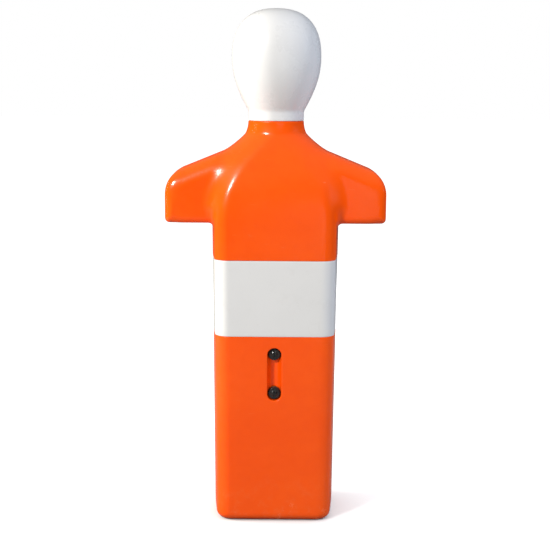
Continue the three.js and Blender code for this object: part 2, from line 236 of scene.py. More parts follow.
def arms(x, y, z):
    """The bar across the shoulders."""
    across, rise = np.abs(x), z - UNDERARM
    sine, cosine = math.sin(SHOULDER_DROP), math.cos(SHOULDER_DROP)
    tangent = math.tan((math.pi / 2 - SHOULDER_DROP) / 2)
    slope = across * sine + (rise - SHOULDER_RISE) * cosine
    centre_x = ARM_HALF_SPAN - ARM_TIP_RADIUS
    centre_z = SHOULDER_RISE - math.tan(SHOULDER_DROP) * ARM_HALF_SPAN - ARM_TIP_RADIUS * tangent
    off_x, off_z = across - centre_x, rise - centre_z
    at_tip = (off_z > 0) & (off_x * cosine - off_z * sine > 0)
    outline = np.where(
        at_tip, np.hypot(off_x, off_z) - ARM_TIP_RADIUS, np.maximum(slope, across - ARM_HALF_SPAN)
    )
    outline = meet(outline, -rise, ARM_LOWER_EDGE)
    trapezius_end = NECK_RADIUS + TRAPEZIUS_SPAN + TRAPEZIUS_BLEND
    near_neck = 1 - ease(across, NECK_RADIUS - TRAPEZIUS_BLEND, trapezius_end)
    depth = ARM_HALF_DEPTH + (TRAPEZIUS_HALF_DEPTH - ARM_HALF_DEPTH) * near_neck
    roundest = TRAPEZIUS_HALF_DEPTH - TRAPEZIUS_FLAT
    upper = ARM_UPPER_ROUNDING + (roundest - ARM_UPPER_ROUNDING) * near_neck
    widening = ease(rise, ARM_ROUNDING_START, ARM_ROUNDING_END)
    radius = ARM_LOWER_ROUNDING + (upper - ARM_LOWER_ROUNDING) * widening
    near_tip = ease(across, centre_x + ARM_TIP_START, ARM_HALF_SPAN)
    radius = radius + (ARM_TIP_ROUNDING - radius) * near_tip
    return meet(outline, np.abs(y) - depth, radius)


def fillet_radius(across, rise):
    """Radius of the inner corner where the arms and the neck meet the slab."""
    widening = ease(rise, 0, ARM_FILLET_END)
    fillet = UNDERARM_FILLET + (ARM_FILLET - UNDERARM_FILLET) * widening
    near_neck = 1 - ease(across, NECK_RADIUS, NECK_FILLET_SPAN)
    high_up = ease(rise, NECK_FILLET_START, NECK_FILLET_END)
    return fillet + (NECK_FILLET - ARM_FILLET) * near_neck * high_up


def recess(x, y, z):
    """The trough and the two counterbores that the plugs sit in."""
    low, high = PLUG_HEIGHT["vent"], PLUG_HEIGHT["fill"]
    middle, half = (low + high) / 2, (high - low) / 2
    trough = np.hypot(x, y - TROUGH_AXIS_Y) - RECESS_RADIUS
    shape = np.maximum(trough, np.abs(z - middle) - half)
    for height in (low, high):
        bore = np.maximum(np.hypot(x, z - height) - RECESS_RADIUS, y - RECESS_FLOOR)
        shape = np.minimum(shape, bore)
    return shape


def ports(x, y, z):
    """The holes that hold the bushes, with a groove for each flange."""
    inward = y - RECESS_FLOOR
    shape = np.full(np.shape(x), np.inf)
    for height in PLUG_HEIGHT.values():
        radius = np.hypot(x, z - height)
        hole = np.maximum(radius - PORT_RADIUS, np.abs(inward) - PORT_DEPTH)
        groove = np.maximum(
            radius - PORT_RADIUS - FLANGE_RISE, np.abs(inward - FLANGE_SETBACK) - FLANGE_HALF - GAP
        )
        shape = np.minimum(shape, np.minimum(hole, groove))
    return shape


def band_seat(x, y, z):
    """The shallow seat that the band lies in."""
    middle, half = (BAND_LOW[2] + BAND_HIGH[2]) / 2, (BAND_HIGH[2] - BAND_LOW[2]) / 2
    return np.maximum(-(slab(x, y, z) + BAND_SEAT), np.abs(z - middle) - half - GAP)


def spigot(x, y, z):
    """The solid spigot that the head fits over, with a groove for the neck seal."""
    radius = np.hypot(x, y)
    shape = meet(radius - SPIGOT_RADIUS, z - SPIGOT_TOP, SPIGOT_EDGE)
    shape = np.maximum(shape, SEAM - SPIGOT_ROOT - z)
    seal_middle = (SEAL_LOW[2] + SEAL_HIGH[2]) / 2
    groove = np.maximum(
        SPIGOT_RADIUS - SEAL_GROOVE_DEPTH - radius, np.abs(z - seal_middle) - SEAL_GROOVE_HALF
    )
    return np.maximum(shape, -groove)


def torso(x, y, z):
    """The orange moulding: base, slab, arms, neck and spigot, less the seat, recess and ports."""
    body = meet(slab(x, y, z), -z, BASE_EDGE)
    body = join(body, arms(x, y, z), fillet_radius(np.abs(x), z - UNDERARM))
    ridge = PARTING_HEIGHT * ease(z, BASE_EDGE / 2, 2 * BASE_EDGE)
    body = body - ridge * np.exp(-((y / PARTING_WIDTH) ** 2))
    body = meet(body, z - SEAM, SEAM_EDGE)
    body = meet(body, -band_seat(x, y, z), SEAT_LIP)
    body = np.minimum(body, spigot(x, y, z))
    body = meet(body, -recess(x, y, z), RECESS_LIP)
    return np.maximum(body, -ports(x, y, z))


def thread_wave(x, y, z):
    """0 on the crests of a right-hand thread and 1 at its roots."""
    turn = z / THREAD_PITCH - np.arctan2(y, x) / (2 * math.pi)
    return 0.5 - 0.5 * np.cos(2 * math.pi * turn)


def plug_field(x, y, z):
    """A screw plug: a rimmed head with a slotted, domed button, and a threaded shank."""
    radius = np.hypot(x, y)
    head = meet(radius - PLUG_RADIUS, z - HEAD_FACE + RIM_DROP, PLUG_RIM_ROUNDING)
    head = meet(head, HEAD_SEAT - z, PLUG_SEAT_EDGE)
    dome = np.hypot(radius, z - HEAD_FACE + DOME_RADIUS) - DOME_RADIUS
    button = meet(dome, radius - BUTTON_RADIUS, BUTTON_EDGE)
    button = np.maximum(button, HEAD_FACE - BUTTON_ROOT - z)
    head = join(head, button, BUTTON_FILLET)
    lead = ease(z, SHANK_TIP - THREAD_RUNOUT, SHANK_TIP + THREAD_LEAD)
    depth = THREAD_DEPTH * thread_wave(x, y, z) * lead
    shank = meet(radius - SHANK_RADIUS + depth, SHANK_TIP - z, SHANK_TIP_ROUNDING)
    shank = np.maximum(shank, z - HEAD_SEAT - SHANK_ROOT)
    neck = np.maximum(
        radius - SHANK_RADIUS + UNDERCUT_DEPTH, np.abs(z - HEAD_SEAT + UNDERCUT_MIDDLE) - UNDERCUT_HALF
    )
    shank = np.where(z > HEAD_SEAT - UNDERCUT_START, neck, shank)
    body = join(head, shank, SHANK_FILLET)
    slot = np.maximum(np.abs(x) - SLOT_HALF_WIDTH, HEAD_FACE - SLOT_DEPTH - z)
    return meet(body, -slot, SLOT_EDGE)


def bush_field(x, y, z):
    """A bush: a barrel with a flange, and a threaded bore that is chamfered at both ends."""
    radius = np.hypot(x, y)
    barrel = meet(radius - BUSH_RADIUS, np.abs(z + BUSH_LENGTH / 2) - BUSH_LENGTH / 2, BUSH_EDGE)
    flange = meet(radius - FLANGE_RADIUS, np.abs(z + FLANGE_SETBACK) - FLANGE_HALF, FLANGE_EDGE)
    chamfer = np.maximum(z + BUSH_CHAMFER, 0) + np.maximum(BUSH_CHAMFER - BUSH_LENGTH - z, 0)
    bore = BUSH_BORE + THREAD_DEPTH * thread_wave(x, y, z) + chamfer - radius
    return np.maximum(np.minimum(barrel, flange), bore)


# ---- Meshes from fields ---------------------------------------------------------------------

SLOPE_REACH = 0.02  # half the distance over which a slope is measured
LEAST_SQUARE = 0.05  # of a slope's length, so that a flat stretch throws no point far away
LEAST_LENGTH = 1e-6
EVEN_SHARE = 0.5  # of the way to the neighbours' middle that a point slides in one round
LONGEST_RETURN = 0.5


def grid_line(low, high, step, fine=()):
    """Grid coordinates a step apart, and closer in each (start, end, step) stretch of fine."""
    marks = [low]
    while marks[-1] < high:
        steps = [size for start, end, size in fine if start - step < marks[-1] < end]
        marks.append(marks[-1] + min(steps + [step]))
    return np.array(marks)


def surface_net(field, lines):
    """Points and quads of a field's surface: one point in each grid cell that the surface crosses."""
    value = field(*np.meshgrid(*lines, indexing="ij"))
    cells = tuple(size - 1 for size in value.shape)
    total = np.zeros((math.prod(cells), 3))
    count = np.zeros(math.prod(cells))
    quads = []
    for axis in range(3):
        before = np.take(value, range(value.shape[axis] - 1), axis)
        after = np.take(value, range(1, value.shape[axis]), axis)
        where = np.nonzero((before < 0) != (after < 0))
        a, b = before[where], after[where]
        point = np.stack([lines[i][where[i]] for i in range(3)], axis=1)
        gap = lines[axis][where[axis] + 1] - lines[axis][where[axis]]
        point[:, axis] += gap * a / (a - b)
        corners = []
        for du, dv in ((0, 0), (-1, 0), (-1, -1), (0, -1)):
            cell = list(where)
            cell[(axis + 1) % 3] = cell[(axis + 1) % 3] + du
            cell[(axis + 2) % 3] = cell[(axis + 2) % 3] + dv
            corners.append(np.ravel_multi_index(cell, cells))
        for corner in corners:
            np.add.at(total, corner, point)
            np.add.at(count, corner, 1)
        ring = np.stack(corners, axis=1)
        ring[a > 0] = ring[a > 0][:, ::-1]
        quads.append(ring)
    used = count > 0
    number = np.cumsum(used) - 1
    return total[used] / count[used, None], number[np.concatenate(quads)]


def gradient_of(field, points):
    slopes = []
    for axis in range(3):
        shift = np.zeros(3)
        shift[axis] = SLOPE_REACH
        rise = field(*(points + shift).T) - field(*(points - shift).T)
        slopes.append(rise / (2 * SLOPE_REACH))
    return np.stack(slopes, axis=1)


def settle(field, points, rounds, longest):
    """Moves points onto the field's surface, never further than longest in one round."""
    for _ in range(rounds):
        slope = gradient_of(field, points)
        square = np.maximum((slope ** 2).sum(1), LEAST_SQUARE)[:, None]
        move = field(*points.T)[:, None] * slope / square
        size = np.linalg.norm(move, axis=1)[:, None]
        points = points - move * np.minimum(1, longest / np.maximum(size, LEAST_LENGTH))
    return points


def even_out(field, points, quads, rounds):
    """Slides points along the surface towards the middle of their neighbours."""
    ends = np.concatenate([quads[:, [i, (i + 1) % 4]] for i in range(4)])
    number = np.bincount(ends[:, 0], minlength=len(points))
    for _ in range(rounds):
        middle = np.stack(
            [np.bincount(ends[:, 0], points[ends[:, 1], i], len(points)) for i in range(3)], axis=1
        ) / number[:, None]
        slope = gradient_of(field, points)
        normal = slope / np.maximum(np.linalg.norm(slope, axis=1), LEAST_LENGTH)[:, None]
        pull = (middle - points) * EVEN_SHARE
        points = points + pull - (pull * normal).sum(1)[:, None] * normal
        points = settle(field, points, 1, LONGEST_RETURN)
    return points


def field_mesh(field, lines, longest):
    """Even points and quads on a field's surface."""
    points, quads = surface_net(field, lines)
    points = settle(field, points, 3, longest)
    points = even_out(field, points, quads, 3)
    return settle(field, points, 2, longest), quads


# ---- Meshes from profiles -------------------------------------------------------------------

def closed_sweep(rings):
    """Points and quads of a closed loop of rings that each have the same number of points."""
    count, size = len(rings), len(rings[0])
    quads = []
    for i in range(count):
        here, there = i * size, (i + 1) % count * size
        for j in range(size):
            k = (j + 1) % size
            quads.append((here + j, here + k, there + k, there + j))
    return np.concatenate(rings), quads


def turned_ring(profile, segments):
    """A closed [radius, height] loop turned about the Z axis, listed with the material on its left."""
    angle = np.linspace(0, 2 * math.pi, segments, endpoint=False)
    cosine, sine = np.cos(angle), np.sin(angle)
    rings = [
        np.stack([radius * cosine, radius * sine, np.full(segments, height)], axis=1)
        for radius, height in profile
    ]
    return closed_sweep(rings)


def turned_dome(profile, segments):
    """The same for an open profile that starts and ends on the axis."""
    points, quads = turned_ring(profile[1:-1], segments)
    quads = quads[: (len(profile) - 3) * segments]
    first, last = len(points), len(points) + 1
    points = np.concatenate([points, [[0, 0, profile[0][1]], [0, 0, profile[-1][1]]]])
    top = (len(profile) - 3) * segments
    caps = []
    for j in range(segments):
        k = (j + 1) % segments
        caps.append((first, k, j))
        caps.append((last, top + j, top + k))
    return points, list(quads) + caps


def at_plug(points, height):
    """Points built about a plug's own axis, moved to its place in the recess."""
    x, y, out = points.T
    return np.stack([x, RECESS_FLOOR - out, height + y], axis=1)


def mesh_piece(name, points, faces, body, node, material):
    """A smooth-shaded piece that stands for a CAD node and rides on a body."""
    mesh = bpy.data.meshes.new(name)
    mesh.from_pydata((np.asarray(points) * MM).tolist(), [], [list(face) for face in faces])
    mesh.polygons.foreach_set("use_smooth", np.ones(len(mesh.polygons), bool))
    mesh.materials.append(material)
    mesh.update()
    piece = bpy.data.objects.new(name, mesh)
    bpy.context.scene.collection.objects.link(piece)
    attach(piece, body)
    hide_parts(node)
    return piece


# ---- Nodes ----------------------------------------------------------------------------------

# Where a colour Mix node has its colours among its sockets.
MIX_COLOUR_A = 6
MIX_COLOUR_B = 7
MIX_COLOUR_RESULT = 2


class Nodes:
    """Makes and links the nodes of a material or of the world."""

    def __init__(self, tree):
        self.tree = tree

    def node(self, kind, **settings):
        made = self.tree.nodes.new(kind)
        for key, value in settings.items():
            setattr(made, key, value)
        return made

    def link(self, source, target):
        self.tree.links.new(source, target)

    def feed(self, value, socket):
        """Sets a number or a colour on a socket, or links an output to it."""
        if isinstance(value, (int, float)):
            socket.default_value = value
        elif isinstance(value, tuple):
            socket.default_value = (*value, 1)
        else:
            self.link(value, socket)

    def ramp(self, source, low, high, start=0.0, end=1.0, interpolation="LINEAR"):
        """source between low and high as a number from start to end."""
        made = self.node("ShaderNodeMapRange", interpolation_type=interpolation)
        for socket, value in zip(("From Min", "From Max", "To Min", "To Max"), (low, high, start, end)):
            made.inputs[socket].default_value = value
        self.link(source, made.inputs["Value"])
        return made.outputs["Result"]

    def maths(self, operation, a, b):
        made = self.node("ShaderNodeMath", operation=operation)
        self.feed(a, made.inputs[0])
        self.feed(b, made.inputs[1])
        return made.outputs["Value"]

    def blend(self, factor, a, b):
        """Numbers a and b mixed by factor."""
        made = self.node("ShaderNodeMix")
        self.link(factor, made.inputs["Factor"])
        self.feed(a, made.inputs["A"])
        self.feed(b, made.inputs["B"])
        return made.outputs["Result"]

    def mix(self, factor, a, b):
        """Colours a and b mixed by factor."""
        made = self.node("ShaderNodeMix", data_type="RGBA")
        self.link(factor, made.inputs["Factor"])
        self.feed(a, made.inputs[MIX_COLOUR_A])
        self.feed(b, made.inputs[MIX_COLOUR_B])
        return made.outputs[MIX_COLOUR_RESULT]

    def upward(self, vector):
        """The Z part of a vector."""
        split = self.node("ShaderNodeSeparateXYZ")
        self.link(vector, split.inputs["Vector"])
        return split.outputs["Z"]

    def seen(self):
        """1 for what the camera looks at, and 0 for reflected and scattered light."""
        return self.node("ShaderNodeLightPath").outputs["Is Camera Ray"]


class Surface(Nodes):
    """A Principled material whose colour, roughness and bump come from procedural nodes."""

    def __init__(self, name, **constants):
        self.material = bpy.data.materials.new(name)
        self.material.use_nodes = True
        super().__init__(self.material.node_tree)
        self.shader = self.tree.nodes["Principled BSDF"]
        for socket, value in constants.items():
            self.shader.inputs[socket.replace("_", " ")].default_value = value
        self.place = self.node("ShaderNodeTexCoord").outputs["Object"]
        self.normal = None

    def scaled(self, size):
        mapping = self.node("ShaderNodeMapping")
        mapping.inputs["Scale"].default_value = size
        self.link(self.place, mapping.inputs["Vector"])
        return mapping.outputs["Vector"]

    def noise(self, scale, detail=3.0, roughness=0.5, stretch=(1, 1, 1), distortion=0.0):
        made = self.node("ShaderNodeTexNoise")
        made.inputs["Scale"].default_value = scale
        made.inputs["Detail"].default_value = detail
        made.inputs["Roughness"].default_value = roughness
        made.inputs["Distortion"].default_value = distortion
        self.link(self.scaled(stretch), made.inputs["Vector"])
        return made.outputs["Fac"]

    def bump(self, height, distance, strength):
        made = self.node("ShaderNodeBump")
        made.inputs["Distance"].default_value = distance
        made.inputs["Strength"].default_value = strength
        self.link(height, made.inputs["Height"])
        if self.normal is not None:
            self.link(self.normal, made.inputs["Normal"])
        self.normal = made.outputs["Normal"]

    def scratches(self, scale, stretch, low, high):
        """Thin streaks, 1 on a scratch."""
        lines = self.noise(scale, detail=2.0, roughness=0.6, stretch=stretch, distortion=0.4)
        patches = self.ramp(self.noise(9.0, detail=2.0), 0.48, 0.62)
        return self.maths("MULTIPLY", self.ramp(lines, low, high), patches)

    def near_floor(self, top):
        """1 on the floor, falling to 0 at a height of top metres."""
        return self.ramp(self.upward(self.place), 0.0, top, start=1.0, end=0.0)

    def done(self, colour, roughness):
        self.link(colour, self.shader.inputs["Base Color"])
        self.link(roughness, self.shader.inputs["Roughness"])
        if self.normal is not None:
            self.link(self.normal, self.shader.inputs["Normal"])
        return self.material


# ---- Materials ------------------------------------------------------------------------------

# Distances of bumps are in metres, and scales of noise are per metre.

ORANGE = (0.97, 0.088, 0.001)
ORANGE_BRIGHT = (1.0, 0.101, 0.002)
ORANGE_MOTTLE = (0.93, 0.080, 0.002)
ORANGE_WORN = (0.95, 0.24, 0.08)
HEAD_WHITE = (0.75, 0.75, 0.755)
BAND_WHITE = (0.735, 0.735, 0.735)
GRIME = (0.42, 0.40, 0.37)
BLACK = (0.012, 0.012, 0.013)
BLACK_FADED = (0.024, 0.023, 0.022)
BLACK_RUBBED = (0.10, 0.10, 0.10)
RUBBER = (0.016, 0.016, 0.017)
RUBBER_DUST = (0.07, 0.068, 0.064)
BRASS = (0.72, 0.50, 0.22)
BRASS_STAINED = (0.42, 0.27, 0.12)

# How strongly marks show in the colour, and how much rougher they make the surface.
ORANGE_SCUFFS = 0.14
ORANGE_WEAR = 0.35
ORANGE_WEAR_TOP = 0.10  # metres above the floor
ORANGE_MARK_ROUGHNESS = 0.35
WHITE_SCUFFS = 0.15
WHITE_GRIME = 0.12
WHITE_MARK_ROUGHNESS = 0.6
WHITE_CLOUD = 0.97  # of the tint, in the darker clouds
BLACK_RUBBED_ROUGHNESS = 0.2
BRASS_STAIN_ROUGHNESS = 0.2


def orange_plastic():
    """Glossy moulded plastic, coloured right through, with orange peel, mottling and scuffs."""
    s = Surface("orange_plastic", Specular_IOR_Level=0.45)
    cloud = s.ramp(s.noise(7.0, detail=4.0, roughness=0.55), 0.35, 0.65)
    colour = s.mix(cloud, ORANGE, ORANGE_BRIGHT)
    fine = s.ramp(s.noise(60.0), 0.42, 0.75, end=0.35)
    colour = s.mix(fine, colour, ORANGE_MOTTLE)
    scuff = s.scratches(34.0, (1.0, 1.0, 4.0), 0.66, 0.72)
    rubbed = s.ramp(s.noise(45.0, detail=5.0, roughness=0.7), 0.5, 0.72)
    worn = s.maths("MULTIPLY", s.near_floor(ORANGE_WEAR_TOP), rubbed)
    scuff_marks = s.maths("MULTIPLY", scuff, ORANGE_SCUFFS)
    marks = s.maths("MAXIMUM", scuff_marks, s.maths("MULTIPLY", worn, ORANGE_WEAR))
    colour = s.mix(marks, colour, ORANGE_WORN)
    patchy = s.ramp(s.noise(14.0, detail=4.0, roughness=0.6), 0.3, 0.7, start=0.17, end=0.25)
    roughness = s.maths("ADD", patchy, s.maths("MULTIPLY", marks, ORANGE_MARK_ROUGHNESS))
    s.bump(s.noise(210.0, detail=2.0, roughness=0.4), distance=0.00022, strength=0.5)
    s.bump(s.noise(17.0, detail=1.0), distance=0.0022, strength=0.25)
    s.bump(marks, distance=-0.0002, strength=0.5)
    return s.done(colour, roughness)


def white_plastic(name, tint, smoothest, roughest, peel):
    """White moulded plastic with a faint peel, a little grime and fine scratches."""
    s = Surface(name, Coat_Weight=0.2, Coat_Roughness=0.1)
    cloud = s.ramp(s.noise(6.0, detail=4.0, roughness=0.55), 0.35, 0.65)
    colour = s.mix(cloud, tint, tuple(WHITE_CLOUD * part for part in tint))
    scuff = s.scratches(30.0, (4.0, 4.0, 1.0), 0.63, 0.72)
    specks = s.ramp(s.noise(38.0, detail=6.0, roughness=0.7), 0.55, 0.8)
    grime = s.maths("MULTIPLY", specks, WHITE_GRIME)
    marks = s.maths("MAXIMUM", s.maths("MULTIPLY", scuff, WHITE_SCUFFS), grime)
    colour = s.mix(marks, colour, GRIME)
    patchy = s.noise(12.0, detail=4.0, roughness=0.6)
    patchy = s.ramp(patchy, 0.3, 0.7, start=smoothest, end=roughest)
    roughness = s.maths("ADD", patchy, s.maths("MULTIPLY", marks, WHITE_MARK_ROUGHNESS))
    s.bump(s.noise(230.0, detail=2.0, roughness=0.4), distance=peel, strength=0.5)
    s.bump(s.noise(15.0, detail=1.0), distance=0.0015, strength=0.2)
    s.bump(scuff, distance=-0.0001, strength=0.4)
    return s.done(colour, roughness)


def black_plastic():
    """Satin black moulded plastic, rubbed paler on its edges."""
    s = Surface("black_plastic", Specular_IOR_Level=0.5)
    grain = s.noise(900.0, detail=4.0, roughness=0.6)
    edges = s.ramp(s.node("ShaderNodeNewGeometry").outputs["Pointiness"], 0.52, 0.60)
    rubbed = s.maths("MULTIPLY", edges, s.ramp(s.noise(350.0), 0.4, 0.6))
    colour = s.mix(s.ramp(s.noise(120.0), 0.3, 0.7), BLACK, BLACK_FADED)
    colour = s.mix(rubbed, colour, BLACK_RUBBED)
    satin = s.ramp(grain, 0.3, 0.7, start=0.12, end=0.24)
    roughness = s.maths("ADD", satin, s.maths("MULTIPLY", rubbed, BLACK_RUBBED_ROUGHNESS))
    s.bump(grain, distance=0.00004, strength=0.5)
    return s.done(colour, roughness)


def black_rubber():
    """Matt rubber with a fine grain and a little dust."""
    s = Surface("black_rubber", Specular_IOR_Level=0.35)
    grain = s.noise(700.0, detail=5.0, roughness=0.7)
    dust = s.ramp(s.noise(160.0, detail=4.0, roughness=0.6), 0.5, 0.8, end=0.5)
    s.bump(grain, distance=0.00008, strength=0.8)
    return s.done(s.mix(dust, RUBBER, RUBBER_DUST), s.ramp(grain, 0.3, 0.7, start=0.68, end=0.88))


def brass_insert():
    """Turned brass with faint tool marks and water stains."""
    s = Surface("brass_insert", Metallic=1.0)
    stain = s.ramp(s.noise(220.0, detail=4.0, roughness=0.6), 0.4, 0.7)
    turning = s.noise(300.0, detail=2.0, stretch=(1.0, 14.0, 1.0))
    turned = s.ramp(turning, 0.3, 0.7, start=0.22, end=0.34)
    roughness = s.maths("ADD", turned, s.maths("MULTIPLY", stain, BRASS_STAIN_ROUGHNESS))
    s.bump(turning, distance=0.00005, strength=0.6)
    return s.done(s.mix(stain, BRASS, BRASS_STAINED), roughness)


# ---- Pieces ---------------------------------------------------------------------------------

TORSO_STEP = 4.0  # of the grid that the torso's surface is found on
RECESS_STEP = 1.5
SPIGOT_STEP = 1.2
EDGE_STEP = 0.7
SIDE_MARGIN = 9.3  # of that grid past the torso
FLOOR_MARGIN = 8.7
TOP_MARGIN = 8.0
RECESS_FINE_HALF_WIDTH = 17.0  # of the stretches with a closer grid
RECESS_FINE_DEPTH = 12.0
RECESS_FINE_MARGIN = 3.0
PARTING_FINE = 2.5
BAND_FINE = 2.0
SEAM_FINE = 4.0
SPIGOT_FINE = 2.0
TORSO_SETTLE = 0.8  # furthest that a point moves in one round of settling


def make_torso(material):
    """The moulded torso, with a closer grid round the recess, the band's seat and the neck."""
    width, depth = ARM_HALF_SPAN + SIDE_MARGIN, CHEST_HALF_DEPTH + SIDE_MARGIN
    recess_reach = RECESS_RADIUS + RECESS_FINE_MARGIN
    recess_span = (PLUG_HEIGHT["vent"] - recess_reach, PLUG_HEIGHT["fill"] + recess_reach)
    fine_across = [(-RECESS_FINE_HALF_WIDTH, RECESS_FINE_HALF_WIDTH, RECESS_STEP)]
    fine_deep = [
        (-CHEST_HALF_DEPTH, RECESS_FLOOR + RECESS_FINE_DEPTH, RECESS_STEP),
        (-PARTING_FINE, PARTING_FINE, EDGE_STEP),
    ]
    fine_up = [
        (*recess_span, RECESS_STEP),
        (BAND_LOW[2] - BAND_FINE, BAND_LOW[2] + BAND_FINE, EDGE_STEP),
        (BAND_HIGH[2] - BAND_FINE, BAND_HIGH[2] + BAND_FINE, EDGE_STEP),
        (SEAM - SEAM_FINE, SPIGOT_TOP + SPIGOT_FINE, SPIGOT_STEP),
    ]
    lines = (
        grid_line(-width, width, TORSO_STEP, fine_across),
        grid_line(-depth, depth, TORSO_STEP, fine_deep),
        grid_line(-FLOOR_MARGIN, SPIGOT_TOP + TOP_MARGIN, TORSO_STEP, fine_up),
    )
    points, quads = field_mesh(torso, lines, TORSO_SETTLE)
    mesh_piece("torso", points, quads, "shell", "torso_shell", material)


def smooth_curve(heights, radii, samples):
    """Radii at the sampled heights, on a cubic spline that starts and ends upright."""
    count = len(heights)
    gaps = np.diff(heights)
    matrix, right = np.zeros((count, count)), np.zeros(count)
    matrix[0, 0] = matrix[-1, -1] = 1
    for i in range(1, count - 1):
        matrix[i, i - 1] = gaps[i]
        matrix[i, i] = 2 * (gaps[i] + gaps[i - 1])
        matrix[i, i + 1] = gaps[i - 1]
        right[i] = 3 * (
            (radii[i] - radii[i - 1]) / gaps[i - 1] * gaps[i]
            + (radii[i + 1] - radii[i]) / gaps[i] * gaps[i - 1]
        )
    slopes = np.linalg.solve(matrix, right)
    index = np.clip(np.searchsorted(heights, samples, side="right") - 1, 0, count - 2)
    t = (samples - heights[index]) / gaps[index]
    return (
        (1 + 2 * t) * (1 - t) ** 2 * radii[index]
        + t * (1 - t) ** 2 * gaps[index] * slopes[index]
        + t * t * (3 - 2 * t) * radii[index + 1]
        + t * t * (t - 1) * gaps[index] * slopes[index + 1]
    )


HEAD_WIDEST = 0.56  # share of the head's height
CROWN_FULLNESS = 2.45  # power of the curve over the widest point: 2 would be an ellipse
HEAD_WALL = 4.0
HEAD_SEGMENTS = 144
HEAD_OUTER_STEPS = 44
HEAD_INNER_STEPS = 20

# Share of the head's height, and radius, from the sleeve up the jaw to the widest point.
JAW_CURVE = np.array([
    (0.075, NECK_RADIUS),
    (0.115, NECK_RADIUS + 3.2),
    (0.255, NECK_RADIUS + 18),
    (0.375, HEAD_RADIUS - 5.5),
    (HEAD_WIDEST, HEAD_RADIUS),
])


def head_outline(inset, steps):
    """[radius, height above the seam] points up the head from its sleeve to the crown."""
    heights, radii = JAW_CURVE[:, 0] * HEAD_HEIGHT, JAW_CURVE[:, 1]
    widest = heights[-1]
    samples = np.linspace(heights[0], widest, steps)
    jaw = list(zip(smooth_curve(heights, radii, samples) - inset, samples))
    crown = HEAD_HEIGHT - inset
    dome = []
    for angle in np.linspace(0, math.pi / 2, steps + 1)[1:]:
        across = math.cos(angle) ** (2 / CROWN_FULLNESS)
        up = math.sin(angle) ** (2 / CROWN_FULLNESS)
        dome.append(((HEAD_RADIUS - inset) * across, widest + (crown - widest) * up))
    return jaw + dome


def make_head(material):
    """The hollow head: a smooth egg on a sleeve with a rounded rim."""
    outside = head_outline(0, HEAD_OUTER_STEPS)
    inside = head_outline(HEAD_WALL, HEAD_INNER_STEPS)[::-1]
    sleeve = NECK_RADIUS - HEAD_WALL
    # Down the sleeve's bore, round a small edge and a larger one, and up its outside.
    rim_round = [
        (sleeve, 6.0),
        (sleeve, GAP + 0.6),
        (sleeve + 0.2, GAP + 0.2),
        (sleeve + 0.6, GAP),
        (NECK_RADIUS - 1.4, GAP),
        (NECK_RADIUS - 0.6, GAP + 0.25),
        (NECK_RADIUS - 0.15, GAP + 0.75),
        (NECK_RADIUS, GAP + 1.6),
        (NECK_RADIUS, 6.0),
        (NECK_RADIUS, 11.0),
    ]
    profile = [(radius, SEAM + height) for radius, height in inside + rim_round + outside]
    points, faces = turned_dome(profile, HEAD_SEGMENTS)
    mesh_piece("head", points, faces, "shell", "head_shell", material)


HALVINGS = 40  # of the distance in which the torso's surface is looked for
INSIDE_TORSO = 20.0
OUTSIDE_TORSO = 250.0


def slab_outline(z, inset, count):
    """Points round the torso at a height, inset from its surface."""
    angle = np.linspace(0, 2 * math.pi, count, endpoint=False)
    cosine, sine = np.cos(angle), np.sin(angle)
    near, far = np.full(count, INSIDE_TORSO), np.full(count, OUTSIDE_TORSO)
    height = np.full(count, z)
    for _ in range(HALVINGS):
        middle = (near + far) / 2
        outside = slab(middle * cosine, middle * sine, height) + inset > 0
        near, far = np.where(outside, near, middle), np.where(outside, middle, far)
    return np.stack([near * cosine, near * sine, height], axis=1)


BAND_THICKNESS = 1.2
BAND_EDGE = 0.45
BAND_SEGMENTS = 360
BAND_OUTER_RINGS = 46
BAND_INNER_RINGS = 10
LAP_HALF_WIDTH = 11.0
LAP_HEIGHT = 0.45
LAP_SHARPNESS = 8  # of the lap's ends
LAP_DEPTH = 0.5  # below the band's face, down to which the lap lifts it


def make_band(material):
    """The chest band: a thin sleeve with rounded edges, lapped at the back."""
    low, high = BAND_LOW[2], BAND_HIGH[2]
    corner = BAND_EDGE * 0.3
    lower, upper = low + BAND_EDGE, high - BAND_EDGE
    outer = [(0.0, z) for z in np.linspace(lower, upper, BAND_OUTER_RINGS)]
    top = [(corner, high - corner), (BAND_EDGE, high), (BAND_THICKNESS, high)]
    inner = [(BAND_THICKNESS, z) for z in np.linspace(upper, lower, BAND_INNER_RINGS)]
    bottom = [(BAND_THICKNESS, low), (BAND_EDGE, low), (corner, low + corner)]
    rings = []
    for inset, z in outer + top + inner + bottom:
        ring = slab_outline(z, inset, BAND_SEGMENTS)
        lap = np.exp(-((ring[:, 0] / LAP_HALF_WIDTH) ** LAP_SHARPNESS))
        ring[:, 1] += LAP_HEIGHT * lap * (ring[:, 1] > 0) * (inset < LAP_DEPTH)
        rings.append(ring)
    points, faces = closed_sweep(rings)
    mesh_piece("band", points, faces, "shell", "chest_band", material)


RUBBER_SQUEEZE = 0.9  # power that flattens a ring's round section a little
RUBBER_STEPS = 20
NECK_SEAL_SEGMENTS = 120
O_RING_SEGMENTS = 72


def rubber_ring(radius, along, section, segments):
    """A ring of round section, a little flattened by what it is squeezed between."""
    profile = []
    for angle in np.linspace(0, 2 * math.pi, RUBBER_STEPS, endpoint=False):
        out = section * math.cos(angle)
        up = section * math.copysign(abs(math.sin(angle)) ** RUBBER_SQUEEZE, math.sin(angle))
        profile.append((radius + out, along + up))
    return turned_ring(profile, segments)


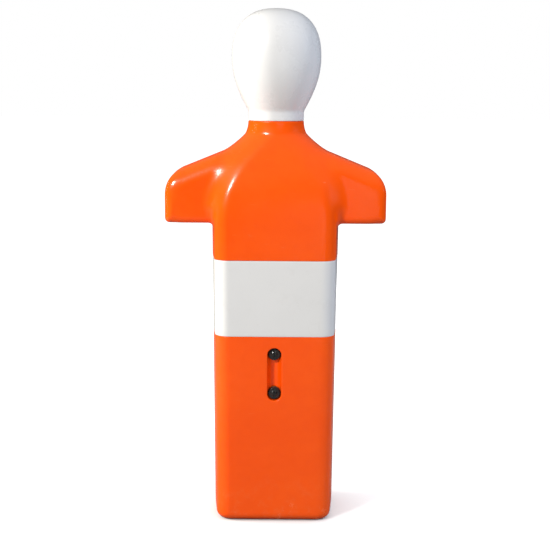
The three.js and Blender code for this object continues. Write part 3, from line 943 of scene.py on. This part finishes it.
def make_neck_seal(material):
    section = (SEAL_HIGH[2] - SEAL_LOW[2]) / 2
    middle = (SEAL_HIGH[2] + SEAL_LOW[2]) / 2
    points, faces = rubber_ring(SEAL_HIGH[0] - section, middle, section, NECK_SEAL_SEGMENTS)
    mesh_piece("neck_ring", points, faces, "shell", "neck_seal", material)


SMALL_MARGIN = 1.3  # of the grid past a plug or a bush
SMALL_SETTLE = 0.15


def small_grid(radius, low, high, across_step, along_step):
    """Grid lines round a turned piece of a radius, between two heights."""
    across = grid_line(-radius - SMALL_MARGIN, radius + SMALL_MARGIN, across_step)
    return across, across, grid_line(low - SMALL_MARGIN, high + SMALL_MARGIN, along_step)


def make_plugs(plastic, rubber, brass):
    """Both screw plugs with their bushes and O-rings."""
    plug_grid = small_grid(PLUG_RADIUS, SHANK_TIP, HEAD_FACE, across_step=0.42, along_step=0.3)
    plug_points, plug_faces = field_mesh(plug_field, plug_grid, SMALL_SETTLE)
    bush_grid = small_grid(FLANGE_RADIUS, -BUSH_LENGTH, 0, across_step=0.5, along_step=0.32)
    bush_points, bush_faces = field_mesh(bush_field, bush_grid, SMALL_SETTLE)
    section = (RING_HIGH[1] - RING_LOW[1]) / 2
    middle = RECESS_FLOOR - (RING_HIGH[1] + RING_LOW[1]) / 2
    ring_points, ring_faces = rubber_ring(RING_HIGH[0] - section, middle, section, O_RING_SEGMENTS)
    for use, height in PLUG_HEIGHT.items():
        mesh_piece(f"{use}_screw", at_plug(plug_points, height), plug_faces,
                   f"{use}_cap", f"{use}_plug", plastic)
        mesh_piece(f"{use}_insert", at_plug(bush_points, height), bush_faces,
                   "shell", f"{use}_bush", brass)
        mesh_piece(f"{use}_washer", at_plug(ring_points, height), ring_faces,
                   f"{use}_seal", f"{use}_o_ring", rubber)


# ---- Stage ----------------------------------------------------------------------------------
# Lengths from here on are in metres, and the powers of lights in watts.

# The floor looks like evenly lit white paper, and throws little light back on the manikin.
FLOOR_HALF_WIDTH = 30.0
FLOOR_GLOW = 0.58
FLOOR_GLOW_START = 0.3  # from the manikin, where the glow starts to grow
FLOOR_GLOW_END = 2.0  # and where it is full
FLOOR_SHADE = 0.6
FLOOR_BOUNCE = 0.22
CONTACT_SHADOW = 0.12  # its reach

WHITE = (1, 1, 1, 1)


def floor_paper():
    """White paper, with a painted contact shadow where ambient occlusion darkens its glow under the
    manikin.
    """
    s = Surface("floor_paper", Roughness=0.9, Specular_IOR_Level=0.0, Emission_Color=WHITE)
    distance = s.node("ShaderNodeVectorMath", operation="LENGTH")
    s.link(s.place, distance.inputs[0])
    glow = s.ramp(distance.outputs["Value"], FLOOR_GLOW_START, FLOOR_GLOW_END, start=FLOOR_GLOW)
    # Painted contact shadow: ambient occlusion darkens the floor's glow in the crevice under the
    # manikin.
    painted_contact_shadow = s.node("ShaderNodeAmbientOcclusion")
    painted_contact_shadow.inputs["Distance"].default_value = CONTACT_SHADOW
    near = s.maths("MULTIPLY", painted_contact_shadow.outputs["AO"], glow)
    s.link(s.maths("MULTIPLY", s.seen(), near), s.shader.inputs["Emission Strength"])
    s.link(s.blend(s.seen(), FLOOR_BOUNCE, FLOOR_SHADE), s.shader.inputs["Base Color"])
    return s.material


def make_floor():
    """A wide pale floor."""
    half = FLOOR_HALF_WIDTH
    corners = [(-half, -half, 0), (half, -half, 0), (half, half, 0), (-half, half, 0)]
    mesh = bpy.data.meshes.new("floor")
    mesh.from_pydata(corners, [], [(0, 1, 2, 3)])
    mesh.materials.append(floor_paper())
    floor = bpy.data.objects.new("floor", mesh)
    bpy.context.scene.collection.objects.link(floor)


CHEST = (0, 0, 0.62)
LOWER_FRONT = (0, 0, 0.35)


def area_light(name, place, target, size, power, colour, in_gloss=False):
    """A soft light, which shows as a highlight only where in_gloss says so."""
    data = bpy.data.lights.new(name, "AREA")
    data.shape = "RECTANGLE"
    data.size, data.size_y = size
    data.energy = power
    data.color = colour
    light = bpy.data.objects.new(name, data)
    light.location = place
    direction = Vector(target) - Vector(place)
    light.rotation_euler = direction.to_track_quat("-Z", "Y").to_euler()
    light.visible_glossy = in_gloss
    bpy.context.scene.collection.objects.link(light)


def make_lights():
    """A key light for the highlights, and softer lights all round."""
    area_light("key", place=(-1.77, -1.97, 2.03), target=CHEST, size=(0.45, 0.45),
               power=78, colour=(1.0, 0.985, 0.95), in_gloss=True)
    area_light("left", place=(-2.45, 0.1, 1.05), target=CHEST, size=(0.6, 1.4),
               power=76, colour=(1.0, 0.95, 0.84))
    area_light("front", place=(0.7, -2.5, 0.5), target=LOWER_FRONT, size=(1.2, 0.8),
               power=14, colour=(1.0, 0.98, 0.95))
    area_light("back", place=(0.5, 2.7, 1.5), target=CHEST, size=(1.3, 1.3),
               power=40, colour=(1.0, 0.99, 0.97))
    area_light("right", place=(2.2, -0.2, 1.5), target=CHEST, size=(0.9, 1.2),
               power=34, colour=(0.74, 0.83, 1.0))


SKY_LOW = 0.06
SKY_HIGH = 0.35
SKY_START = 0.05  # upward part of the direction at which the sky starts to brighten
SKY_END = 0.85


def make_world():
    """A soft sky that brightens upward, and plain white where the camera sees it."""
    world = bpy.data.worlds.new("studio")
    world.use_nodes = True
    sky = Nodes(world.node_tree)
    upward = sky.upward(sky.node("ShaderNodeTexCoord").outputs["Generated"])
    glow = sky.ramp(upward, SKY_START, SKY_END, SKY_LOW, SKY_HIGH, interpolation="SMOOTHSTEP")
    background = world.node_tree.nodes["Background"]
    background.inputs["Color"].default_value = WHITE
    sky.link(sky.blend(sky.seen(), glow, 1.0), background.inputs["Strength"])
    bpy.context.scene.world = world


CAMERA_PLACE = (0.0, -2.3, 0.85)
CAMERA_PITCH = math.radians(9.12)
CAMERA_ROLL = math.radians(0.42)
LENS_MM = 76.5
SENSOR_MM = 36


def make_camera():
    """A long lens a little above the chest, looking slightly down, with a slight roll."""
    data = bpy.data.cameras.new("camera")
    data.sensor_width = SENSOR_MM
    data.lens = LENS_MM
    camera = bpy.data.objects.new("camera", data)
    camera.location = CAMERA_PLACE
    camera.rotation_euler = (math.pi / 2 - CAMERA_PITCH, 0, 0)
    camera.rotation_euler.rotate_axis("Z", CAMERA_ROLL)
    bpy.context.scene.collection.objects.link(camera)
    bpy.context.scene.camera = camera


# ---- Scene ----------------------------------------------------------------------------------

make_camera()
make_floor()
make_lights()
make_world()
make_torso(orange_plastic())
make_head(white_plastic("white_plastic", HEAD_WHITE, smoothest=0.24, roughest=0.34, peel=0.0002))
make_band(white_plastic("white_film", BAND_WHITE, smoothest=0.18, roughest=0.26, peel=0.0001))
rubber = black_rubber()
make_neck_seal(rubber)
make_plugs(black_plastic(), rubber, brass_insert())
bpy.context.scene.view_settings.view_transform = "Standard"
